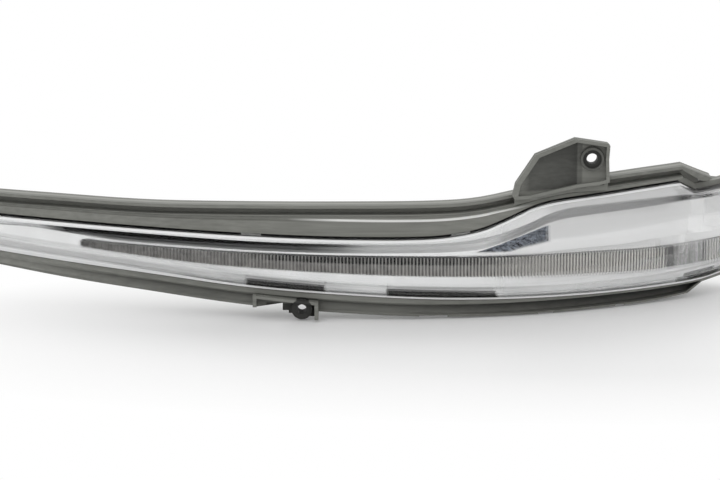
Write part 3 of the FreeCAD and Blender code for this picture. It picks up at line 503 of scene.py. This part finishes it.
def mirror_trim():
    """Mirror coating, with painted shade in its cove and along its panel's fold, and with pale, duller places
    of painted light that stands in for bright reflection.
    """
    material, tree, shader = new_material("trim_mirror")
    along, rise, plan = place_mm(tree)
    depth = front_depth(along, plan)
    panel = ramp(along, panel_start)
    corner = ramp(along, corner_start)
    under = ramp(rise - line_height(along, cove_line), cove_edge, FALLING) * ramp(along, cove_end, FALLING)
    under = under * ramp(depth, cove_lip_depths)
    # Painted shade in the cove, and grey painted shade below it at the left
    cove = ramp(depth + corner * corner_sink, cove_depths) * line_share(along, cove_shade)
    cove = cove * (1.0 - corner * ramp(rise, corner_foot, FALLING))
    grey = ramp(depth, grey_depths, grey_shades) * under
    grey = grey * ramp(along, grey_end, FALLING)
    flange = ramp(rise - line_height(along, lens_top), flange_heights) * ramp(depth, flange_depths)
    flange = flange * (1.0 - corner)
    from_foot = rise - line_height(along, lens_foot)
    brim = ramp(from_foot, brim_heights, FALLING) * spans(along, slot_spans, slot_soft)
    land = ramp(from_foot, land_heights, FALLING) * ramp(along, land_end, FALLING)
    # Painted light on the pale places, which are also duller
    pale = largest(under * ramp(along, grey_end), land, brim, flange, panel * panel_pale)
    # Painted shade along the panel's fold
    fold = ramp(rise - line_height(along, panel_fold), fold_edge, fold_shades) * ramp(along, fold_start)
    shade = (cove * (1.0 - under) + grey) * (1.0 - flange)
    colour = blend_colours(noise(tree, *metal_haze), trim_dark, trim_light)
    colour = tinted(colour, pale, trim_painted_light)
    feed(tree, shader, {
        "Base Color": tinted(colour, largest(shade, fold), deep_shade),
        "Metallic": ramp(largest(under, panel, pale), WHOLE, trim_metal),
        "Roughness": ramp(noise(tree, *metal_gloss), NOISE_RANGE, trim_rough),
        "Normal": bump(noise(tree, *mirror_waves), wave_depth)})
    return material


# Lens: its zones in height from its top edge and from its foot
top_zone = (-0.3, -0.15)
crest_zone = (-1.0, -0.22, 0.08)
inner_zone = (-1.3, -0.35, 0.08)
foot_zone = (1.6, 2.0)

# Depths of its crest with painted light, and those at which its wall, its top with painted shade and its
# clear places at the slots start
crest_depths = (2.9, 4.1, 0.1)
wall_start = (4.85, 5.15)
dark_start = (4.2, 4.5)
open_start = (5.0, 5.2)

# Painted light on the lip at the lens's foot, which is wider at the far left
lip_heights = (0.55, 0.75)
lip_start = (3.0, 3.2)
wide_along = (-165.0, -100.0)
wide_by = (0.9, 0.0)

# Its colours of painted light and painted shade, how much of it is seen, how clear it is, and its smears
lens_painted_light = (0.94, 0.945, 0.945, 1.0)
lens_gap_shade = (0.012, 0.012, 0.012, 1.0)
lens_alpha = (0.3, 0.85)
bare_share = (1.0, 0.05)
lens_transmission = (1.0, 0.15)
smear_rough = (0.0, 0.012)
body_rough = 0.3


def lens_clear():
    """Clear acrylic with faint smears, whose thick wall has painted light below and painted shade above, over
    the gap.
    """
    material, tree, shader = new_material("lens_clear")
    along, rise, plan = place_mm(tree)
    depth = front_depth(along, plan)
    wall = ramp(depth, wall_start)
    from_top = rise - line_height(along, lens_top)
    from_foot = rise - line_height(along, lens_foot)
    above = ramp(from_top, top_zone)
    below = ramp(from_foot, foot_zone, FALLING)
    tabs = spans(along, tab_spans, tab_soft)
    crest_line = within(from_top, crest_zone) * within(depth, crest_depths)
    wide = ramp(along, wide_along, wide_by)
    lip = ramp(from_foot - wide, lip_heights, FALLING) * ramp(depth + wide, lip_start)
    # Painted light on the wall, tabs, crest and lip; painted shade on the top over the gap
    pale = largest(wall * (above * tabs + below), crest_line, lip)
    dark = above * ramp(depth, dark_start)
    dark = dark * (1.0 - tabs)
    open_slots = spans(along, slot_spans, slot_soft) * ramp(depth, open_start)
    open_slots = open_slots * below
    inner = within(from_top, inner_zone) * wall
    bare = largest(open_slots, inner * (1.0 - tabs))
    body = largest(pale, dark) * (1.0 - bare)
    smears = ramp(noise(tree, *lens_smears), NOISE_RANGE, smear_rough)
    feed(tree, shader, {
        "Base Color": mixed(dark, lens_painted_light, lens_gap_shade, "RGBA"),
        "Alpha": ramp(body, WHOLE, lens_alpha) * ramp(bare, WHOLE, bare_share),
        "Transmission Weight": ramp(body, WHOLE, lens_transmission),
        "IOR": acrylic_index,
        "Roughness": smears + body * body_rough})
    return material


# Seal: its two greys, its gloss, and the heights of its shaded places from the lens's foot and top
seal_dark = (0.5, 0.5, 0.48)
seal_light = (0.62, 0.62, 0.6)
seal_rough = (0.5, 0.65)
seal_foot = (3.0, 4.0)
seal_top = (-2.5, -2.0)


def seal_bead():
    """Pale soft bead, in shade behind the slots of the trim and under the top edge of the lens."""
    material, tree, shader = new_material("seal_pale")
    along, rise, _ = place_mm(tree)
    lower = ramp(rise - line_height(along, lens_foot), seal_foot, FALLING)
    lower = lower * spans(along, slot_spans, slot_soft)
    upper = ramp(rise - line_height(along, lens_top), seal_top)
    upper = upper * (1.0 - spans(along, tab_spans, tab_soft))
    colour = blend_colours(noise(tree, *seal_marks), seal_dark, seal_light)
    feed(tree, shader, {
        "Base Color": tinted(colour, largest(lower, upper), deep_shade),
        "Roughness": ramp(noise(tree, *gloss_patches), NOISE_RANGE, seal_rough),
        "Normal": bump(noise(tree, *fine_grain), grain_depth)})
    return material


# Light bars: depths of their crests and valleys, their colours of painted light and painted shade, haze,
# gloss and clearness
crest_and_valley = (4.6, 5.05)
flute_painted_shade = (0.02, 0.02, 0.019)
flute_painted_light = (0.85, 0.83, 0.79)
haze_range = (-0.03, 0.03)
flute_rough = (0.12, 0.22)
flute_transmission = 0.12

# Long bar: its edges as places along X and heights, and how the contrast of its flutes' painted light and
# shade, and their tone, go along X
bar_top = [(-164, -27.3), (-124, -28.6), (-92, -29.5), (-60, -30.0), (-29, -30.7), (3, -31.2), (28, -31.8)]
bar_foot = [(-164, -29.3), (-124, -32.7), (-92, -34.4), (-60, -35.8), (-29, -36.9), (3, -37.9),
            (28, -38.6)]
flute_contrast = [(-165, 0.0), (-156, 0.02), (-140, 0.08), (-100, 0.1), (-60, 0.15), (-38, 0.3),
                  (-18, 0.8), (28, 0.95)]
flute_tone = [(-165, 0.34), (-150, 0.37), (-120, 0.40), (-60, 0.43), (-30, 0.47), (-10, 0.54), (28, 0.55)]

# Painted shade on the upper zone of the long bar: shares of the bar's height, its shade, stretch along X and
# contrast
upper_zone = (0.30, 0.42)
upper_shades = (0.12, 0.0)
upper_along = (-100.0, -22.0, 10.0)
upper_contrast = 1.6
middle_tone = 0.5


def long_bar_tone(along, rise, tone):
    """Tone of the long bar, whose painted light and shade grow in contrast to the right and whose upper zone
    has painted shade.
    """
    top = line_height(along, bar_top)
    foot = line_height(along, bar_foot)
    upper = ramp((top - rise) / (top - foot), upper_zone, upper_shades) * within(along, upper_along)
    contrast = line_share(along, flute_contrast) + upper * upper_contrast
    swing = (tone - middle_tone) * contrast
    return line_share(along, flute_tone) + (swing - upper)


def fluted(name, arcs, set_tone=None):
    """Clear flutes with painted light on their crests and painted shade in their valleys, on the arcs of the
    plan that the bar follows.
    """
    material, tree, shader = new_material(name)
    along, rise, plan = place_mm(tree)
    tone = ramp(front_depth(along, plan, arcs), crest_and_valley, FALLING)
    if set_tone is not None:
        tone = set_tone(along, rise, tone)
    haze = ramp(noise(tree, *flute_haze), NOISE_RANGE, haze_range)
    feed(tree, shader, {
        "Base Color": blend_colours(tone + haze, flute_painted_shade, flute_painted_light),
        "Transmission Weight": flute_transmission,
        "IOR": acrylic_index,
        "Roughness": ramp(noise(tree, *flute_gloss), NOISE_RANGE, flute_rough)})
    return material


# Cut block: its colours, clearness and gloss, and the depth of its streaks in metres
cut_dark = (0.12, 0.12, 0.12)
cut_pale = (0.75, 0.75, 0.74)
cut_transmission = 0.2
cut_rough = (0.05, 0.2)
cut_depth = 0.0002


def crystal():
    """Cut block with upright streaks."""
    material, tree, shader = new_material("crystal_cut")
    streaks = noise(tree, *cut_streaks)
    feed(tree, shader, {
        "Base Color": blend_colours(streaks, cut_dark, cut_pale),
        "Transmission Weight": cut_transmission,
        "IOR": acrylic_index,
        "Roughness": ramp(noise(tree, *cut_gloss), NOISE_RANGE, cut_rough),
        "Normal": bump(streaks, cut_depth)})
    return material


# Plain finishes: the two colours, the range of roughness and, for the boards, a coarser grain
plastics = {
    "carrier_black": ((0.03, 0.03, 0.032), (0.018, 0.018, 0.02), (0.38, 0.5)),
    "board_green": ((0.03, 0.15, 0.07), (0.02, 0.10, 0.05), (0.25, 0.4), board_grain),
    "epoxy_black": ((0.025, 0.025, 0.028), (0.015, 0.015, 0.017), (0.3, 0.45)),
    "phosphor_yellow": ((0.80, 0.70, 0.30), (0.85, 0.82, 0.62), (0.2, 0.4)),
    "resistor_dark": ((0.05, 0.05, 0.055), (0.3, 0.3, 0.28), (0.3, 0.5)),
    "ceramic_tan": ((0.45, 0.3, 0.18), (0.36, 0.24, 0.14), (0.35, 0.5)),
    "film_amber": ((0.5, 0.2, 0.03), (0.42, 0.16, 0.02), (0.2, 0.35)),
}
metals = {
    "pin_gold": ((0.85, 0.68, 0.35), (0.78, 0.6, 0.3), (0.15, 0.3)),
    "screw_zinc": ((0.6, 0.6, 0.6), (0.5, 0.5, 0.5), (0.25, 0.45)),
}
plain_nodes = {
    "inner_carrier": "carrier_black",
    "vent_cap": "carrier_black",
    "main_circuit_board": "board_green",
    "tail_circuit_board": "board_green",
    "main_leds": "phosphor_yellow",
    "tail_leds": "phosphor_yellow",
    "driver_chip": "epoxy_black",
    "rectifier_diodes": "epoxy_black",
    "chip_resistors": "resistor_dark",
    "filter_capacitor": "ceramic_tan",
    "board_link_ribbon": "film_amber",
    "connector_pins": "pin_gold",
    "carrier_screws": "screw_zinc",
}


def dress_all():
    """Gives every node its material."""
    plain = {name: moulded(name, *finish) for name, finish in plastics.items()}
    plain.update({name: plated(name, *finish) for name, finish in metals.items()})
    finishes = {node: plain[name] for node, name in plain_nodes.items()}
    finishes["rear_housing"] = housing_grey()
    finishes["outer_lens"] = lens_clear()
    finishes["lens_seal"] = seal_bead()
    finishes["reflector_bezel"] = mirror_trim()
    finishes["fluted_light_bar"] = fluted("bar_fluted", bar_plan, long_bar_tone)
    finishes["tail_light_bar"] = fluted("tail_fluted", tail_plan)
    finishes["end_optic"] = crystal()
    for node, material in finishes.items():
        parts[node].data.materials.clear()
        parts[node].data.materials.append(material)


# Grained plate in the trim: its outline as places along X and heights, and its depth, gap and thickness
plate_outline = [(-36.6, -29.2), (-28.9, -26.9), (-13.3, -21.6), (-13.3, -26.7), (-21.2, -28.1),
                 (-25.7, -29.3)]
plate_front = 7.2
plate_gap = 0.08
plate_thickness = 0.06
plate_steps = 4

# Its contrast, colours, share of metal and gloss, and the depth of its grain in metres
plate_contrast = (0.42, 0.58)
plate_dark = (0.006, 0.009, 0.015)
plate_light = (0.26, 0.29, 0.34)
plate_metal = 0.55
plate_rough = (0.32, 0.5)
plate_grain_depth = 0.00006


def on_front(x, z, depth):
    """Point in metres on the lamp's curved front, at a depth behind it."""
    reach = right_radius - depth
    y = apex_y + right_radius - math.sqrt(reach ** 2 - (x - apex_x) ** 2)
    return Vector((x, y, z)) * MM


def plate_mesh():
    """Fan of faces from the middle of the outline to its edge, a little inside it."""
    middle_x = sum(x for x, _ in plate_outline) / len(plate_outline)
    middle_z = sum(z for _, z in plate_outline) / len(plate_outline)
    rim = []
    for (x, z), (next_x, next_z) in zip(plate_outline, plate_outline[1:] + plate_outline[:1]):
        for step in range(plate_steps):
            edge_x = x + (next_x - x) * step / plate_steps
            edge_z = z + (next_z - z) * step / plate_steps
            inward = Vector((middle_x - edge_x, middle_z - edge_z)).normalized() * plate_gap
            rim.append((edge_x + inward.x, edge_z + inward.y))
    corners = [on_front(x, z, plate_front) for x, z in rim + [(middle_x, middle_z)]]
    last = len(rim)
    mesh = bpy.data.meshes.new("grained_facet")
    mesh.from_pydata(corners, [], [(i, (i + 1) % last, last) for i in range(last)])
    return mesh


def plate_material():
    """Dark coating with a fine grain."""
    material, tree, shader = new_material("facet_grain")
    grain = ramp(noise(tree, *plate_grain), plate_contrast)
    feed(tree, shader, {
        "Base Color": blend_colours(grain, plate_dark, plate_light),
        "Metallic": plate_metal,
        "Roughness": ramp(noise(tree, *plate_gloss), NOISE_RANGE, plate_rough),
        "Normal": bump(grain, plate_grain_depth)})
    return material


def grained_facet():
    """Thin dark plate with a fine grain, let into the trim beside the light bar."""
    mesh = plate_mesh()
    piece = bpy.data.objects.new("grained_facet", mesh)
    scene.collection.objects.link(piece)
    thick = piece.modifiers.new("thickness", "SOLIDIFY")
    thick.thickness = plate_thickness * MM
    mesh.materials.append(plate_material())
    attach(piece, "root")


# Floor, in metres: its size, the gap under the lamp, and its colour and gloss
floor_size = 8.0
floor_gap = 0.0001
floor_colour = (0.9, 0.9, 0.9, 1.0)
floor_rough = 0.45
floor_specular = 0.3

# Shadow that the floor keeps: its share, reach from its centre, centre in the plan and stretch along X
shadow_share = 0.88
shadow_reach = (0.05, 0.105)
shadow_centre = (0.0, -0.025)
shadow_stretch = 0.43


def seen_by(tree, *rays):
    """One for the rays of the kinds that are named, and zero for the others."""
    path = tree.nodes.new("ShaderNodeLightPath")
    return largest(*[Field(tree, path.outputs[ray]) for ray in rays])


def make_stage():
    """Pale floor, white away from the lamp for the camera and for what shows through and in the lamp."""
    low = cad_box[0].z - floor_gap
    half = floor_size / 2
    mesh = bpy.data.meshes.new("floor")
    corners = [(-half, -half, low), (half, -half, low), (half, half, low), (-half, half, low)]
    mesh.from_pydata(corners, [], [(0, 1, 2, 3)])
    floor = bpy.data.objects.new("floor", mesh)
    scene.collection.objects.link(floor)
    material, tree, shader = new_material("floor_white")
    feed(tree, shader, {
        "Base Color": floor_colour, "Roughness": floor_rough, "Specular IOR Level": floor_specular})
    away = distance(scaled(own_place(tree), (shadow_stretch, 1.0, 1.0)), (*shadow_centre, low))
    bare = ramp(away, shadow_reach, (1.0 - shadow_share, 1.0))
    white = seen_by(tree, "Is Camera Ray", "Is Transmission Ray", "Is Glossy Ray") * bare
    glow = tree.nodes.new("ShaderNodeEmission")
    mix = add_node(tree, "ShaderNodeMixShader", {"Fac": white})
    tree.links.new(shader.outputs["BSDF"], mix.inputs[1])
    tree.links.new(glow.outputs["Emission"], mix.inputs[2])
    tree.links.new(mix.outputs["Shader"], tree.nodes["Material Output"].inputs["Surface"])
    mesh.materials.append(material)


# World: its light by height on matt surfaces and in the mirror trim
diffuse_heights = (0.0, 0.8)
diffuse_light = (0.68, 0.8)
mirror_heights = (0.0, 0.6)
mirror_light = (0.74, 0.92)

# Dark flag that the mirror trim shows: its light and its edges, as parts of a direction
flag_light = 0.4
flag_left = (-0.25, -0.05)
flag_front = (-0.3, -0.1)
flag_foot = (-0.02, 0.06)
flag_top = (0.6, 0.75)

# Lamps: the point they face, and for each its place, size and power
lamp_target = Vector((-0.08, 0.0, -0.03))
lamps = {
    "key_lamp": (Vector((-0.1, 0.9, 0.95)), (1.1, 0.7), 4.0),
    "fill_lamp": (Vector((-0.7, -0.8, 0.7)), (0.7, 0.7), 2.4),
}


def make_world():
    """White surroundings with a dark flag at the front left for the mirror trim."""
    world = bpy.data.worlds.new("studio")
    scene.world = world
    world.use_nodes = True
    tree = world.node_tree
    x, y, z = split(Field(tree, tree.nodes.new("ShaderNodeTexCoord").outputs["Generated"]))
    side = ramp(x, flag_left, FALLING) * ramp(y, flag_front, FALLING)
    flag = side * (ramp(z, flag_foot) * ramp(z, flag_top, FALLING))
    mirror = ramp(z, mirror_heights, mirror_light) - flag * (mirror_light[0] - flag_light)
    diffuse = ramp(z, diffuse_heights, diffuse_light)
    light = mixed(seen_by(tree, "Is Diffuse Ray"), mirror, diffuse)
    light = mixed(seen_by(tree, "Is Camera Ray", "Is Transmission Ray"), light, 1.0)
    feed(tree, tree.nodes["Background"], {"Color": light})


def make_lamps():
    """Two soft lamps that face the middle of the view."""
    for name, (place, size, power) in lamps.items():
        data = bpy.data.lights.new(name, "AREA")
        data.shape = "RECTANGLE"
        data.size, data.size_y = size
        data.energy = power
        lamp = bpy.data.objects.new(name, data)
        lamp.location = place
        lamp.rotation_euler = (lamp_target - place).to_track_quat("-Z", "Y").to_euler()
        scene.collection.objects.link(lamp)


def make_camera():
    """Camera at the photograph's angle."""
    data = bpy.data.cameras.new("camera")
    data.lens = camera_lens
    data.sensor_width = camera_sensor
    data.clip_start = camera_near
    camera = bpy.data.objects.new("camera", data)
    camera.location = camera_place
    camera.rotation_euler = (math.pi / 2 - camera_drop, 0.0, 0.0)
    scene.collection.objects.link(camera)
    scene.camera = camera


make_camera()
make_stage()
make_world()
make_lamps()
dress_all()
grained_facet()
scene.view_settings.view_transform = "Standard"
